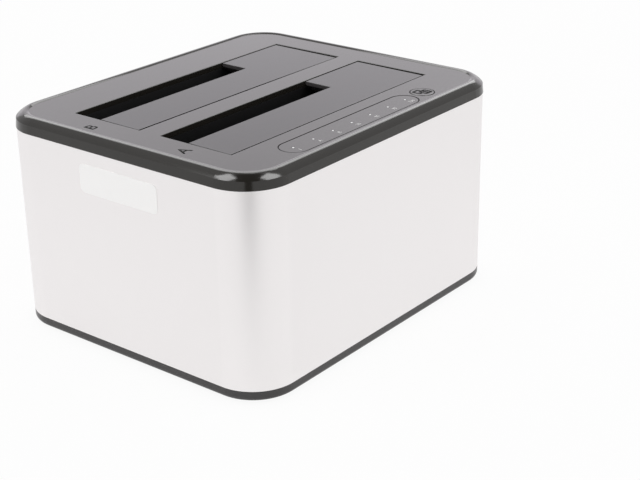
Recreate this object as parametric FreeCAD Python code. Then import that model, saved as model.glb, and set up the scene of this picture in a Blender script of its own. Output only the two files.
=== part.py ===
import FreeCAD, Part
import math
import os

# A two-bay docking station for bare disk drives.
# Millimetres. X runs to the right along the front, Y to the back, Z up.
# The origin lies on the table, under the middle of the case.

# Case outline
case_width = 134.0
case_depth = 113.6
case_height = 76.4
case_corner = 15.9
sleeve_setback = 0.2
sleeve_wall = 1.2
lip_play = 0.15
lip_wall = 1.5
lip_reach = 4.0

# Base cover and feet
foot_stand = 1.0
foot_radius = 6.0
foot_recess = 0.6
foot_round = 0.4
foot_inset_x = 21.0
foot_inset_y = 20.8
foot_play = 0.1
base_band = 3.57
base_floor = 2.0
base_round = 1.5

# Top cover
cover_band = 5.0
cover_draft = 0.3
rim_bevel_inset = 2.0
rim_bevel_height = 1.6
rim_bevel_bulge = 0.12
rim_crown = 2.5
rim_rise = 0.4
rim_drop = 0.35
plate_wall = 2.0
mouth_round = 0.3

# Screw posts in the four corners
post_radius = 3.5
post_inset = 10.5
post_foot = 3.0
post_foot_radius = 4.5
case_screw_radius = 1.3
case_screw_length = 12.0
case_head_radius = 2.7
case_head_height = 1.8
case_head_play = 0.3
case_head_sink = 0.4
screw_play = 0.05
screw_hole_play = 0.3

# Cross recess in a screw's head: its reach as a share of the head's radius,
# half its width as a share of the shank's radius, its depth as a share of the head's height
cross_reach = 0.62
cross_half_width = 0.3
cross_depth = 0.5

# Drive bays, which take the length and width that the deck round them leaves
side_deck = 15.2
front_deck = 21.85
middle_deck = 9.1
bay_floor_z = 17.0
bay_wall = 1.5
bay_front_relief = 2.0
slot_length = 72.5
slot_width = 11.5

# Bay flaps, hinges and springs
flap_wall = 2.4
flap_slot_wall = 1.3
flap_end_gap = 0.6
flap_free_gap = 0.4
flap_hinge_gap = 0.75
flap_hinge_sink = 0.3
flap_free_sink = 0.15
flap_edge_round = 0.2
flap_rib_height = 0.8
flap_rib_wall = 1.2
hinge_inset = 0.05
hinge_below_plate = 2.05
barrel_radius = 1.7
pin_radius = 0.8
pin_seat_play = 0.03
pin_run_play = 0.06
pin_stand_out = 0.3
pin_chamfer = 0.2
stop_width = 8.0
stop_reach = 1.5
stop_wall = 1.1
stop_root = 4.0
stop_gap = 0.1
stop_window_height = 10.5
spring_wire = 0.45
spring_pin_play = 0.15
spring_turns = 6
spring_pitch = 0.6
spring_leg = 7.0
spring_leg_swell = 1.1
spring_notch = 8.0
spring_notch_play = 0.11
spring_end_gap = 6.0

# Ears that hold the bays to the top cover
ear_reach = 8.6
ear_width = 8.0
ear_wall = 2.0
ear_corner = 1.0
ear_drop = 14.0
ear_boss_radius = 3.0
ear_screw_offset = 4.5
ear_screw_length = 8.0

# Small screws, for the ears and the boards
small_screw_radius = 1.0
small_head_radius = 2.0
small_head_height = 1.3
board_screw_length = 4.5

# Status strip, light guides and button
strip_left_gap = 27.2
strip_right_gap = 39.1
strip_from_front = 10.9
strip_width = 9.8
strip_wall = 1.0
strip_gap = 0.4
strip_sink = 0.05
led_count = 7
led_from_end = 4.2
guide_radius = 0.5
guide_play = 0.05
guide_bar_width = 3.0
guide_bar_wall = 1.0
led_gap = 0.4
led_side = 1.6
led_height = 0.8
button_radius = 4.1
button_gap = 0.3
button_from_strip = 5.9
button_from_front = 10.9
button_proud = 0.1
button_flange = 0.9
button_flange_wall = 0.8
button_rest_gap = 0.15
button_travel = 0.5

# Front board and the switch under the button
front_board_front_gap = 1.1
front_board_back_gap = 1.5
front_board_end = 4.5
front_board_wall = 1.2
front_board_corner = 1.0
front_boss_radius = 2.5
front_boss_from_strip = 4.0
front_boss_from_button = 9.1
key_side = 6.0
key_corner = 0.4
key_height = 3.4
key_plunger_radius = 1.7
key_plunger_play = 0.08
key_plunger_engaged = 0.8
key_top_gap = 0.2
key_bottom_gap = 0.3

# Main board and what stands on it
board_side_gap = 13.95
board_front_gap = 3.75
board_back_gap = 0.8
board_wall = 1.6
board_corner = 1.5
board_stand = 5.0
board_boss_radius = 3.5
board_boss_inset = 4.0
socket_length = 43.0
socket_width = 6.6
socket_stand_out = 4.0
socket_guide_height = 2.4
socket_guide_length = 2.2
socket_guide_chamfer = 0.66
socket_from_left = 32.5
socket_from_back = 4.3
socket_window_play = 0.5
data_slot_length = 11.6
power_slot_length = 22.0
tongue_slot_width = 2.4
tongue_slot_depth = 6.5
tongue_key_length = 1.6
tongue_key_depth = 1.2
tongue_slot_space = 3.0
row_before_socket = 13.15
row_behind_socket = 9.0
chip_side = 10.0
chip_height = 1.4
chip_chamfer = 0.28
chip_from_left = 16.0
chip_from_right = 36.0
coil_side = 7.0
coil_height = 4.0
coil_corner = 1.2
coil_from_right = 16.0
coil_rows = 3
crystal_length = 8.0
crystal_width = 3.6
crystal_height = 3.2
crystal_from_left = 36.0
crystal_from_right = 50.0
can_radius = 4.0
can_height = 11.5
can_groove = 0.4
can_groove_rise = 1.7
can_from_front = 6.0
can_from_left = 14.0
can_from_right = 21.0
can_pitch = 11.0

# Flat cable from the front board to the main board
cable_width = 9.0
cable_wall = 0.9
cable_from_board_front = 5.0
cable_bow = 3.0
header_length = 12.0
header_width = 5.0
header_height = 5.0
header_corner = 0.4

# Connector panel in the back
panel_length = 72.0
panel_height = 17.0
panel_above_board = 6.8
panel_corner = 2.0
panel_depth = 4.0
panel_wall = 1.6
panel_side_wall = 1.5
panel_play = 0.1
panel_flange = 2.0
panel_flange_wall = 1.2
panel_rib_wall = 1.5
panel_rib_height = 12.0

# Sockets and switch in the panel
port_stand_out = 0.3
port_play = 0.25
port_corner = 0.5
port_hole_corner = 0.6
port_chamfer = 0.3
usb_bay_gap = 1.65
usb_middle_x = 2.0
usb_outer_width = 12.0
usb_outer_height = 13.0
usb_length = 15.6
usb_mouth_width = 8.5
usb_mouth_height = 7.8
usb_mouth_bevel = 1.6
usb_upper_width = 6.0
usb_upper_height = 2.6
usb_tongue_width = 5.6
usb_tongue_height = 3.2
usb_mouth_depth = 9.0
usb_tongue_recess = 1.0
usb_tongue_round = 0.3
usb_upper_tongue_width = 4.6
usb_upper_tongue_height = 0.9
usb_upper_tongue_round = 0.2
jack_from_left = 14.0
jack_width = 9.0
jack_height = 11.0
jack_length = 13.6
jack_collar_radius = 4.3
jack_bore_height = 6.2
jack_bore_radius = 3.15
jack_bore_depth = 9.5
jack_pin_radius = 1.05
jack_pin_recess = 1.0
jack_pin_round = 0.63
rocker_from_right = 12.0
rocker_bezel_length = 15.0
rocker_bezel_height = 11.0
rocker_bezel_wall = 1.5
rocker_bezel_corner = 1.2
rocker_body_length = 13.0
rocker_body_height = 9.0
rocker_body_depth = 12.0
rocker_body_corner = 0.4
rocker_mouth_length = 12.0
rocker_mouth_height = 6.6
rocker_mouth_depth = 7.0
rocker_mouth_corner = 0.3
rocker_gap = 0.35
rocker_swing = 16.0
rocker_tip_rise = 0.935
rocker_heel_inset = 0.53
rocker_heel_depth = 1.25
rocker_belly_depth = 3.0
rocker_pin_radius = 0.9
rocker_pin_play = 0.06
rocker_pin_length = 1.0
rocker_pivot_depth = 2.5
terminal_bay_gap = 0.65
terminal_width = 2.0
terminal_wall = 0.5
terminal_offset = 3.5
lead_radius = 0.7

# Blank label on the left side
label_length = 34.3
label_height = 9.8
label_wall = 0.12
label_corner = 2.0
label_middle_y = 0.05
label_below_cover = 4.65

# Levels worked out from the sizes above
base_z = foot_stand
base_top_z = base_z + base_band
base_floor_z = base_z + base_floor
cover_low_z = case_height - cover_band
plate_z = case_height - rim_drop
plate_low_z = plate_z - plate_wall
post_low_z = base_floor_z + post_foot
board_z = base_floor_z + board_stand
board_top_z = board_z + board_wall
key_top_z = plate_low_z - button_rest_gap - button_flange_wall - button_travel - key_top_gap
front_board_z = key_top_z - key_height
case_seat_z = base_z + case_head_sink + case_head_height
ear_z = plate_low_z - ear_drop
panel_middle_z = board_top_z + panel_above_board
label_middle_z = cover_low_z - label_below_cover - label_height / 2

# Distances in from the top cover's wall
rim_crease_inset = cover_draft + rim_bevel_inset
rim_inset = rim_crease_inset + rim_crown
rim_crest_share = 1 / (1 + math.sqrt(rim_drop / rim_rise))
lip_outer_inset = sleeve_setback + sleeve_wall + lip_play
lip_inner_inset = lip_outer_inset + lip_wall

# Back panel
sleeve_back_y = case_depth / 2 - sleeve_setback
panel_face_y = sleeve_back_y - panel_depth
port_face_y = panel_face_y + port_stand_out
jack_bore_z = board_top_z + jack_bore_height
jack_middle_x = jack_from_left - panel_length / 2
rocker_middle_x = panel_length / 2 - rocker_from_right
rocker_pivot_y = panel_face_y + rocker_bezel_wall - rocker_pivot_depth

# Bays
bays_front_y = front_deck - case_depth / 2
bays_back_y = port_face_y - usb_length - usb_bay_gap - bay_wall
bay_half = case_width / 2 - side_deck
bay_width = (bays_back_y - bays_front_y - middle_deck) / 2
bays = {"a": bays_front_y + bay_width / 2, "b": bays_back_y - bay_width / 2}
bay_length = 2 * bay_half
well_front_y = bays_front_y - bay_front_relief - bay_wall
hinge_z = plate_low_z - hinge_below_plate
flap_top = plate_z - flap_hinge_sink - hinge_z
flap_reach = bay_width - hinge_inset - flap_free_gap
flap_tilt = math.degrees(math.asin((flap_hinge_sink - flap_free_sink) / flap_reach))
slot_end_x = slot_length - bay_half
spring_radius = pin_radius + spring_pin_play + spring_wire / 2
spring_span = spring_turns * spring_pitch
spring_notch_x = bay_half - flap_end_gap - spring_end_gap - spring_notch
spring_x = spring_notch_x + (spring_notch - spring_span) / 2
terminal_length = panel_face_y - rocker_body_depth - bays_back_y - bay_wall - terminal_bay_gap

# Strip, button and the board under them
strip_left_x = strip_left_gap - case_width / 2
strip_right_x = case_width / 2 - strip_right_gap
strip_length = strip_right_x - strip_left_x
strip_middle_x = (strip_left_x + strip_right_x) / 2
strip_middle_y = strip_from_front - case_depth / 2
led_pitch = (strip_length - 2 * led_from_end) / (led_count - 1)
button_x = strip_right_x + button_from_strip
button_y = button_from_front - case_depth / 2
front_boss_places = [strip_left_x - front_boss_from_strip, button_x + front_boss_from_button]

# Main board
board_half = case_width / 2 - lip_inner_inset - board_side_gap
board_front_y = lip_inner_inset + board_front_gap - case_depth / 2
board_back_y = panel_face_y - panel_wall - panel_play - panel_rib_wall - board_back_gap
socket_middle_x = socket_from_left - bay_half
socket_a_y = bays["a"] + bay_width / 2 - socket_from_back
front_row_y = socket_a_y - row_before_socket
middle_row_y = socket_a_y + row_behind_socket
can_y = board_front_y + can_from_front
cable_middle_y = board_front_y + cable_from_board_front

X_AXIS = FreeCAD.Vector(1, 0, 0)
Y_AXIS = FreeCAD.Vector(0, 1, 0)
Z_AXIS = FreeCAD.Vector(0, 0, 1)
ORIGIN = FreeCAD.Vector(0, 0, 0)

# How far a cut runs past what it cuts, how far a joined piece is sunk into its neighbour,
# how close two levels are to count as one, and what keeps a full round from vanishing
THROUGH = 1.0
SUNK = 0.5
NEAR = 0.001
ROUND_SLACK = 0.01


def point(x, y, z):
    return FreeCAD.Vector(x, y, z)


def box(x0, x1, y0, y1, z0, z1):
    return Part.makeBox(x1 - x0, y1 - y0, z1 - z0, point(x0, y0, z0))


def runs_along(edge, axis):
    return abs(edge.tangentAt(edge.FirstParameter).dot(axis)) > 1 - NEAR


def edges_at(shape, level, axis):
    """The edges that lie whole at one level along an axis."""
    return [e for e in shape.Edges if all(abs(v.Point.dot(axis) - level) < NEAR for v in e.Vertexes)]


def soft_box(x0, x1, y0, y1, z0, z1, radius, axis):
    """A block whose edges along one axis are rounded."""
    block = box(x0, x1, y0, y1, z0, z1)
    return block.makeFillet(radius, [e for e in block.Edges if runs_along(e, axis)])


def upright(x, y, z0, z1, radius):
    return Part.makeCylinder(radius, z1 - z0, point(x, y, z0))


def along_x(x0, x1, y, z, radius):
    return Part.makeCylinder(radius, x1 - x0, point(x0, y, z), X_AXIS)


def along_y(y0, y1, x, z, radius):
    return Part.makeCylinder(radius, y1 - y0, point(x, y0, z), Y_AXIS)


def join(shapes):
    return shapes[0].multiFuse(shapes[1:]).removeSplitter()


def cut(shape, tools):
    return shape.cut(tools).removeSplitter()


def case_prism(inset, z0, z1):
    """The case's plan, drawn in by an inset, as an upright block."""
    half_x = case_width / 2 - inset
    half_y = case_depth / 2 - inset
    return soft_box(-half_x, half_x, -half_y, half_y, z0, z1, case_corner - inset, Z_AXIS)


def case_ring(outer_inset, inner_inset, z0, z1):
    return case_prism(outer_inset, z0, z1).cut(case_prism(inner_inset, z0, z1))


def carry_round(section):
    """Carries a section round the case. Its X is the distance from a corner's upright axis."""
    half_x = case_width / 2 - case_corner
    half_y = case_depth / 2 - case_corner
    centres = [
        point(half_x, -half_y, 0),
        point(half_x, half_y, 0),
        point(-half_x, half_y, 0),
        point(-half_x, -half_y, 0),
    ]
    pieces = []
    for number, centre in enumerate(centres):
        start = section.copy()
        start.rotate(ORIGIN, Z_AXIS, 90 * number - 90)
        start.translate(centre)
        pieces.append(start.revolve(centre, Z_AXIS, 90))
        end = start.copy()
        end.rotate(centre, Z_AXIS, 90)
        pieces.append(end.extrude(centres[(number + 1) % 4] - centre))
    return join(pieces)


def corner_places(inset_x, inset_y):
    x = case_width / 2 - inset_x
    y = case_depth / 2 - inset_y
    return [(-x, -y), (x, -y), (x, y), (-x, y)]


def post_places():
    return corner_places(post_inset, post_inset)


def foot_places():
    return corner_places(foot_inset_x, foot_inset_y)


def board_boss_places():
    x = board_half - board_boss_inset
    front = board_front_y + board_boss_inset
    back = board_back_y - board_boss_inset
    return [(-x, front), (x, front), (x, back), (-x, back)]


def screw(x, y, seat_z, length, radius, head_radius, head_height):
    """A screw driven upwards, its head under the seat, with a cross recess."""
    low = seat_z - head_height
    shank = upright(x, y, seat_z - head_height / 2, seat_z + length, radius)
    head = upright(x, y, low, seat_z, head_radius)
    arm = head_radius * cross_reach
    slot = radius * cross_half_width
    deep = low + head_height * cross_depth
    cross_x = box(x - arm, x + arm, y - slot, y + slot, low, deep)
    cross_y = box(x - slot, x + slot, y - arm, y + arm, low, deep)
    return cut(join([shank, head]), [cross_x, cross_y])


def rim_section():
    """Outer wall, bevelled rim and the crown that falls to the plate, with the lip inside."""

    def at(inset, z):
        return point(case_corner - inset, 0, z)

    crease_z = case_height - rim_rise
    wall_top = at(cover_draft, crease_z - rim_bevel_height)
    crease = at(rim_crease_inset, crease_z)
    crest = at(rim_crease_inset + rim_crown * rim_crest_share, case_height)
    crown_end = at(rim_inset, plate_z)
    outward = point(rim_bevel_height, 0, rim_bevel_inset).normalize()
    bevel_mid = (wall_top + crease) * 0.5 + outward * rim_bevel_bulge
    corners = [
        crown_end,
        at(rim_inset, plate_low_z),
        at(lip_inner_inset, plate_low_z),
        at(lip_inner_inset, cover_low_z - lip_reach),
        at(lip_outer_inset, cover_low_z - lip_reach),
        at(lip_outer_inset, cover_low_z),
        at(0, cover_low_z),
        wall_top,
    ]
    edges = [
        Part.Arc(wall_top, bevel_mid, crease).toShape(),
        Part.Arc(crease, crest, crown_end).toShape(),
    ]
    edges += [Part.makeLine(a, b) for a, b in zip(corners, corners[1:])]
    return Part.Face(Part.Wire(edges))


def strip_stadium(margin, z0, z1):
    """The status strip's outline, larger all round by a margin."""
    half_x = strip_length / 2 + margin
    half_y = strip_width / 2 + margin
    return soft_box(
        strip_middle_x - half_x,
        strip_middle_x + half_x,
        strip_middle_y - half_y,
        strip_middle_y + half_y,
        z0,
        z1,
        half_y - ROUND_SLACK,
        Z_AXIS,
    )


def led_places():
    return [strip_left_x + led_from_end + led_pitch * number for number in range(led_count)]


def ear_screw_places():
    x = bay_half + bay_wall + ear_screw_offset
    return [(side * x, y) for y in bays.values() for side in (-1, 1)]


def make_top_cover():
    plate = case_prism(rim_inset, plate_low_z, plate_z)
    posts = [upright(x, y, post_low_z, plate_low_z, post_radius) for x, y in post_places()]
    bosses = [upright(x, y, ear_z, plate_low_z, ear_boss_radius) for x, y in ear_screw_places()]
    bosses += [
        upright(x, strip_middle_y, front_board_z, plate_low_z, front_boss_radius) for x in front_boss_places
    ]
    cover = join([carry_round(rim_section()), plate] + posts + bosses)

    mouths = []
    for y in bays.values():
        front = y - bay_width / 2
        back = y + bay_width / 2
        mouths.append(box(-bay_half, bay_half, front, back, plate_low_z - THROUGH, plate_z + THROUGH))
    cover = cut(cover, mouths)
    mouth_edges = [
        edge
        for edge in edges_at(cover, plate_z, Z_AXIS)
        if all(abs(v.X) < bay_half + NEAR for v in edge.Vertexes)
        and bays_front_y - NEAR < edge.CenterOfMass.y < bays_back_y + NEAR
        and edge.Length < bay_length + NEAR
    ]
    cover = cover.makeFillet(mouth_round, mouth_edges)

    holes = [strip_stadium(strip_gap, plate_z - strip_sink - strip_wall, plate_z + THROUGH)]
    holes += [
        upright(x, strip_middle_y, plate_low_z - THROUGH, plate_z, guide_radius + guide_play)
        for x in led_places()
    ]
    holes.append(
        upright(button_x, button_y, plate_low_z - THROUGH, plate_z + THROUGH, button_radius + button_gap)
    )
    case_hole_top = case_seat_z + case_screw_length + THROUGH
    holes += [
        upright(x, y, post_low_z - THROUGH, case_hole_top, case_screw_radius + screw_play)
        for x, y in post_places()
    ]
    small_hole = small_screw_radius + screw_play
    holes += [
        upright(x, y, ear_z - THROUGH, ear_z + ear_screw_length, small_hole) for x, y in ear_screw_places()
    ]
    front_hole_top = front_board_z + board_screw_length - front_board_wall + screw_hole_play
    holes += [
        upright(x, strip_middle_y, front_board_z - THROUGH, front_hole_top, small_hole)
        for x in front_boss_places
    ]
    return cut(cover, holes)


def panel_window(margin, y0, y1):
    """The opening for the connector panel, larger all round by a margin."""
    half_x = panel_length / 2 + margin
    half_z = panel_height / 2 + margin
    return soft_box(
        -half_x,
        half_x,
        y0,
        y1,
        panel_middle_z - half_z,
        panel_middle_z + half_z,
        panel_corner + margin,
        Y_AXIS,
    )


def make_aluminium_sleeve():
    inner = sleeve_setback + sleeve_wall
    sleeve = case_ring(sleeve_setback, inner, base_top_z, cover_low_z)
    window = panel_window(0, sleeve_back_y - sleeve_wall - THROUGH, sleeve_back_y + THROUGH)
    return cut(sleeve, [window])


def make_base_cover():
    tray = case_prism(sleeve_setback, base_z, base_top_z)
    tray = tray.makeFillet(base_round, edges_at(tray, base_z, Z_AXIS))
    tray = tray.cut(case_prism(lip_inner_inset, base_floor_z, base_top_z + THROUGH))
    lip = case_ring(lip_outer_inset, lip_inner_inset, base_top_z, base_top_z + lip_reach)
    back_gap = panel_length / 2 + panel_flange + panel_rib_wall
    lip = lip.cut(box(-back_gap, back_gap, 0, case_depth, base_top_z, base_top_z + lip_reach + THROUGH))
    feet_of_posts = [upright(x, y, base_z, post_low_z, post_foot_radius) for x, y in post_places()]
    bosses = [upright(x, y, base_z, board_z, board_boss_radius) for x, y in board_boss_places()]
    rib_x = panel_length / 2 - panel_side_wall
    ribs = [
        box(
            side * rib_x - panel_rib_wall / 2,
            side * rib_x + panel_rib_wall / 2,
            panel_face_y - panel_wall - panel_play - panel_rib_wall,
            panel_face_y - panel_wall - panel_play,
            base_floor_z - SUNK,
            base_floor_z + panel_rib_height,
        )
        for side in (-1, 1)
    ]
    base = join([tray, lip] + feet_of_posts + bosses + ribs)

    holes = [
        upright(x, y, base_z - THROUGH, base_z + foot_recess, foot_radius + foot_play)
        for x, y in foot_places()
    ]
    holes += [
        upright(x, y, base_z - THROUGH, case_seat_z, case_head_radius + case_head_play)
        for x, y in post_places()
    ]
    holes += [
        upright(x, y, base_z, post_low_z + THROUGH, case_screw_radius + screw_hole_play)
        for x, y in post_places()
    ]
    holes += [
        upright(x, y, board_z - board_screw_length, board_z + THROUGH, small_screw_radius + screw_play)
        for x, y in board_boss_places()
    ]
    return cut(base, holes)


def make_rubber_feet():
    feet = []
    for x, y in foot_places():
        foot = upright(x, y, 0, base_z + foot_recess, foot_radius)
        feet.append(foot.makeFillet(foot_round, edges_at(foot, 0, Z_AXIS)))
    return Part.makeCompound(feet)


def make_bay_well(middle_y):
    """An open box that a drive slides down into, with a window in its floor for the socket."""
    front = middle_y - bay_width / 2 - bay_front_relief
    back = middle_y + bay_width / 2
    end = bay_half + bay_wall
    well = box(-end, end, front - bay_wall, back + bay_wall, bay_floor_z - bay_wall, plate_low_z)
    ears = []
    for side in (-1, 1):
        x0, x1 = sorted((side * (bay_half + bay_wall / 2), side * (end + ear_reach)))
        y0 = middle_y - ear_width / 2
        ears.append(soft_box(x0, x1, y0, y0 + ear_width, ear_z - ear_wall, ear_z, ear_corner, Z_AXIS))
    well = join([well] + ears)
    socket_half_x = socket_length / 2 + socket_window_play
    socket_half_y = socket_width / 2 + socket_window_play
    socket_y = back - socket_from_back
    stop_middle = (slot_end_x + spring_notch_x) / 2
    tools = [
        box(-bay_half, bay_half, front, back, bay_floor_z, plate_low_z + THROUGH),
        box(
            socket_middle_x - socket_half_x,
            socket_middle_x + socket_half_x,
            socket_y - socket_half_y,
            socket_y + socket_half_y,
            bay_floor_z - bay_wall - THROUGH,
            bay_floor_z + THROUGH,
        ),
        box(
            stop_middle - stop_width / 2 - flap_end_gap,
            stop_middle + stop_width / 2 + flap_end_gap,
            back - SUNK,
            back + bay_wall + THROUGH,
            hinge_z - stop_window_height,
            plate_low_z + THROUGH,
        ),
        along_x(
            -end - THROUGH,
            end + THROUGH,
            middle_y - bay_width / 2 + hinge_inset,
            hinge_z,
            pin_radius + pin_seat_play,
        ),
    ]
    tools += [
        upright(x, y, ear_z - ear_wall - THROUGH, ear_z + THROUGH, small_screw_radius + screw_hole_play)
        for x, y in ear_screw_places()
        if y == middle_y
    ]
    return cut(well, tools)


def seat_on_hinge(shape, middle_y):
    """Turns a piece drawn about the hinge line to the closed flap's slope and sets it in its bay."""
    shape.rotate(ORIGIN, X_AXIS, flap_tilt)
    shape.translate(point(0, middle_y - bay_width / 2 + hinge_inset, hinge_z))
    return shape


def make_flap(middle_y):
    """An L-shaped cover, drawn with the hinge line as its origin."""
    low = flap_top - flap_wall
    end = bay_half - flap_end_gap
    front = flap_hinge_gap - hinge_inset
    notch_y = bay_width - slot_width - hinge_inset
    plate = box(-end, end, front, flap_reach, low, flap_top)
    slot_start = -bay_half - THROUGH
    plate = plate.cut(box(slot_start, slot_end_x, notch_y, bay_width, low - THROUGH, flap_top + THROUGH))
    thin_x = slot_end_x + flap_rib_wall
    plate = plate.cut(box(slot_start, thin_x, notch_y, bay_width, low - THROUGH, flap_top - flap_slot_wall))
    plate = plate.makeFillet(flap_edge_round, edges_at(plate, flap_top, Z_AXIS))

    barrel = along_x(-end, end, 0, 0, barrel_radius)
    rib_low = low - flap_rib_height
    rib_half = flap_rib_wall / 2
    first_rib_x = flap_rib_wall - end
    long_rib_x = slot_end_x + 2 * flap_rib_wall
    short_back = notch_y - flap_rib_wall
    rib_backs = {
        first_rib_x: short_back,
        first_rib_x / 2: short_back,
        0.0: short_back,
        long_rib_x: flap_reach - flap_rib_wall,
    }
    ribs = [
        box(x - rib_half, x + rib_half, barrel_radius, rib_back, rib_low, low)
        for x, rib_back in rib_backs.items()
    ]
    ribs.append(box(first_rib_x, long_rib_x, short_back - flap_rib_wall, short_back, rib_low, low))

    stop_middle = (slot_end_x + spring_notch_x) / 2
    stop_end = bay_width - hinge_inset + stop_reach - flap_end_gap
    rise = stop_end * math.sin(math.radians(flap_tilt))
    stop_top = hinge_below_plate - stop_gap - rise
    stop = box(
        stop_middle - stop_width / 2,
        stop_middle + stop_width / 2,
        flap_reach - stop_root,
        stop_end,
        stop_top - stop_wall,
        stop_top,
    )

    leg_play = spring_wire
    tools = [
        along_x(-bay_half, bay_half, 0, 0, pin_radius + pin_run_play),
        along_x(spring_notch_x, spring_notch_x + spring_notch, 0, 0, barrel_radius + spring_notch_play),
        box(
            spring_x - leg_play,
            spring_x + leg_play,
            0,
            spring_leg + leg_play,
            0,
            spring_radius + spring_wire / 2 + stop_gap,
        ),
    ]
    return seat_on_hinge(cut(join([plate, barrel, stop] + ribs), tools), middle_y)


def make_flap_pin(middle_y):
    end = bay_half + bay_wall + pin_stand_out
    y = middle_y - bay_width / 2 + hinge_inset
    pin = along_x(-end, end, y, hinge_z, pin_radius)
    return pin.makeChamfer(pin_chamfer, [e for e in pin.Edges if e.Closed])


def make_flap_spring(middle_y):
    """A torsion spring round the pin: one leg under the flap, one down the bay's front wall."""
    rise = spring_pitch * (spring_turns + 0.25)
    start = point(-spring_radius, 0, 0)
    helix = Part.makeHelix(spring_pitch, rise, spring_radius)
    helix.rotate(ORIGIN, Z_AXIS, 180)
    profile = Part.Wire(Part.makeCircle(spring_wire / 2, start, Y_AXIS))
    coil = Part.Wire(helix.Edges).makePipeShell([profile], True, True)
    leg_radius = spring_wire / 2 * spring_leg_swell
    overlap = spring_wire / 2
    flap_leg = Part.makeCylinder(leg_radius, spring_leg, start - Y_AXIS * overlap, Y_AXIS)
    wall_leg_start = point(-overlap, -spring_radius, rise)
    wall_leg = Part.makeCylinder(leg_radius, spring_leg, wall_leg_start, X_AXIS)
    spring = coil.fuse([flap_leg, wall_leg])
    spring.rotate(ORIGIN, Y_AXIS, 90)
    spring.translate(point(spring_x, middle_y - bay_width / 2 + hinge_inset, hinge_z))
    return spring


def make_status_strip():
    top = plate_z - strip_sink
    strip = strip_stadium(0, top - strip_wall, top)
    holes = [
        upright(x, strip_middle_y, top - 2 * strip_wall, top + THROUGH, guide_radius + guide_play)
        for x in led_places()
    ]
    return cut(strip, holes)


def make_light_guides():
    """Seven clear pins on one bar, from the lamps on the front board to the strip's face."""
    top = plate_z - strip_sink
    places = led_places()
    low = front_board_z + led_height + led_gap
    bar_end = guide_bar_width / 2
    bar = box(
        places[0] - bar_end,
        places[-1] + bar_end,
        strip_middle_y - bar_end,
        strip_middle_y + bar_end,
        plate_low_z - guide_bar_wall,
        plate_low_z,
    )
    pins = [upright(x, strip_middle_y, low, top, guide_radius) for x in places]
    return join([bar] + pins)


def make_status_leds():
    half = led_side / 2
    near = strip_middle_y - half
    far = strip_middle_y + half
    top = front_board_z + led_height
    return Part.makeCompound([box(x - half, x + half, near, far, front_board_z, top) for x in led_places()])


def make_front_board():
    low = front_board_z - front_board_wall
    board = soft_box(
        front_boss_places[0] - front_board_end,
        front_boss_places[1] + front_board_end,
        lip_inner_inset + front_board_front_gap - case_depth / 2,
        well_front_y - front_board_back_gap,
        low,
        front_board_z,
        front_board_corner,
        Z_AXIS,
    )
    hole_radius = small_screw_radius + screw_hole_play
    holes = [
        upright(x, strip_middle_y, low - THROUGH, front_board_z + THROUGH, hole_radius)
        for x in front_boss_places
    ]
    return cut(board, holes)


def make_clone_button():
    flange_top = plate_low_z - button_rest_gap
    top = plate_z + button_proud
    cap = upright(button_x, button_y, flange_top - button_flange_wall, top, button_radius)
    cap = cap.makeFillet(mouth_round, edges_at(cap, top, Z_AXIS))
    flange_radius = button_radius + button_gap + button_flange
    flange = upright(button_x, button_y, flange_top - button_flange_wall, flange_top, flange_radius)
    return join([cap, flange])


def make_key_plunger():
    top = plate_low_z - button_rest_gap - button_flange_wall
    return upright(button_x, button_y, key_top_z - key_plunger_engaged, top, key_plunger_radius)


def make_button_key():
    half = key_side / 2
    key = soft_box(
        button_x - half,
        button_x + half,
        button_y - half,
        button_y + half,
        front_board_z,
        key_top_z,
        key_corner,
        Z_AXIS,
    )
    well_low = key_top_z - key_plunger_engaged - button_travel - key_bottom_gap
    well_radius = key_plunger_radius + key_plunger_play
    return cut(key, [upright(button_x, button_y, well_low, key_top_z + THROUGH, well_radius)])


def make_main_board():
    board = soft_box(
        -board_half,
        board_half,
        board_front_y,
        board_back_y,
        board_z,
        board_top_z,
        board_corner,
        Z_AXIS,
    )
    holes = [
        upright(x, y, board_z - THROUGH, board_top_z + THROUGH, small_screw_radius + screw_hole_play)
        for x, y in board_boss_places()
    ]
    return cut(board, holes)


def make_drive_socket(middle_y):
    """The connector that a drive is pushed down onto, with one slot for data and one for power."""
    y = middle_y + bay_width / 2 - socket_from_back
    half_x = socket_length / 2
    half_y = socket_width / 2
    top = bay_floor_z + socket_stand_out
    body = box(socket_middle_x - half_x, socket_middle_x + half_x, y - half_y, y + half_y, board_top_z, top)
    guides = []
    guide_top = top + socket_guide_height
    for side in (-1, 1):
        outer = socket_middle_x + side * half_x
        x0, x1 = sorted((outer, outer - side * socket_guide_length))
        guide = box(x0, x1, y - half_y, y + half_y, top - SUNK, guide_top)
        guides.append(guide.makeChamfer(socket_guide_chamfer, edges_at(guide, guide_top, Z_AXIS)))
    body = join([body] + guides)
    total = power_slot_length + tongue_slot_space + data_slot_length
    power_start = socket_middle_x - total / 2
    data_start = power_start + power_slot_length + tongue_slot_space
    deep = top - tongue_slot_depth
    half_slot = tongue_slot_width / 2
    tools = []
    for start, length in ((power_start, power_slot_length), (data_start, data_slot_length)):
        end = start + length
        tools.append(box(start, end, y - half_slot, y + half_slot, deep, top + THROUGH))
        tools.append(
            box(end - tongue_key_length, end, y - half_slot - tongue_key_depth, y, deep, top + THROUGH)
        )
    return cut(body, tools)


def make_control_chips():
    half = chip_side / 2
    top = board_top_z + chip_height
    pieces = []
    places = [(chip_from_left - board_half, front_row_y), (board_half - chip_from_right, middle_row_y)]
    for x, y in places:
        chip = box(x - half, x + half, y - half, y + half, board_top_z, top)
        pieces.append(chip.makeChamfer(chip_chamfer, edges_at(chip, top, Z_AXIS)))
    return Part.makeCompound(pieces)


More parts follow.
